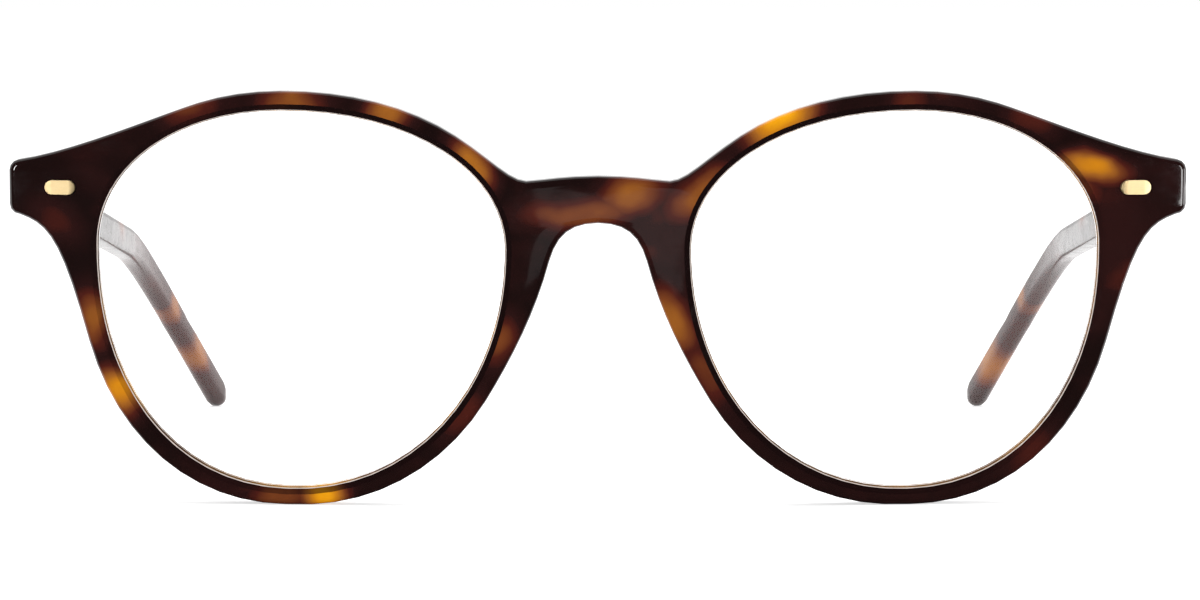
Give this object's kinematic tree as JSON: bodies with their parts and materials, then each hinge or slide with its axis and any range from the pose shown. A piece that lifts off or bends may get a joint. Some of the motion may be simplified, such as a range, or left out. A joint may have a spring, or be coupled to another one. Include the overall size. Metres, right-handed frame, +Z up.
{
  "type": "round full-rim spectacles",
  "caption": "Round full-rim acetate spectacles with clear lenses, a saddle bridge, small gilt plaques and folding temples on barrel hinges.",
  "frame": {"origin": "centre of the bounding box's footprint, on the surface that the spectacles stand on", "axes": "+Z up; -Y the way the front faces; +X the wearer's left, which is right as seen from the front"},
  "size_m": [0.1408, 0.143, 0.0494],
  "materials": {
    "acetate_front": "polished tortoiseshell acetate, dark brown with red-brown and amber blotches",
    "acetate_temples": "polished tortoiseshell acetate, dark brown with red-brown and amber blotches",
    "acetate_pads": "polished tortoiseshell acetate",
    "lens": "clear coated plastic lens",
    "gilt": "pale gold plated, polished",
    "hinge_steel": "satin nickel silver",
    "screw_steel": "bright steel",
    "core_wire": "drawn nickel silver"
  },
  "bodies": {
    "front": {"frame_front": "acetate_front", "lens_right": "lens", "lens_left": "lens", "nose_pad_right": "acetate_pads", "nose_pad_left": "acetate_pads", "front_plaque_right": "gilt", "front_plaque_left": "gilt", "front_hinge_leaf_right": "hinge_steel", "front_hinge_leaf_left": "hinge_steel", "hinge_screw_right": "screw_steel", "hinge_screw_left": "screw_steel"},
    "left_temple": {"temple_left": "acetate_temples", "temple_hinge_leaf_left": "hinge_steel", "temple_plaque_left": "gilt", "core_wire_left": "core_wire"},
    "right_temple": {"temple_right": "acetate_temples", "temple_hinge_leaf_right": "hinge_steel", "temple_plaque_right": "gilt", "core_wire_right": "core_wire"}
  },
  "joints": [
    {"name": "left_temple_fold", "type": "hinge", "parent": "front", "child": "left_temple", "pos_m": [0.06625, -0.0592, 0.0378], "axis": [0, 0, 1], "range_deg": [0, 85]},
    {"name": "right_temple_fold", "type": "hinge", "parent": "front", "child": "right_temple", "pos_m": [-0.06625, -0.0592, 0.0378], "axis": [0, 0, -1], "range_deg": [0, 79]}
  ]
}
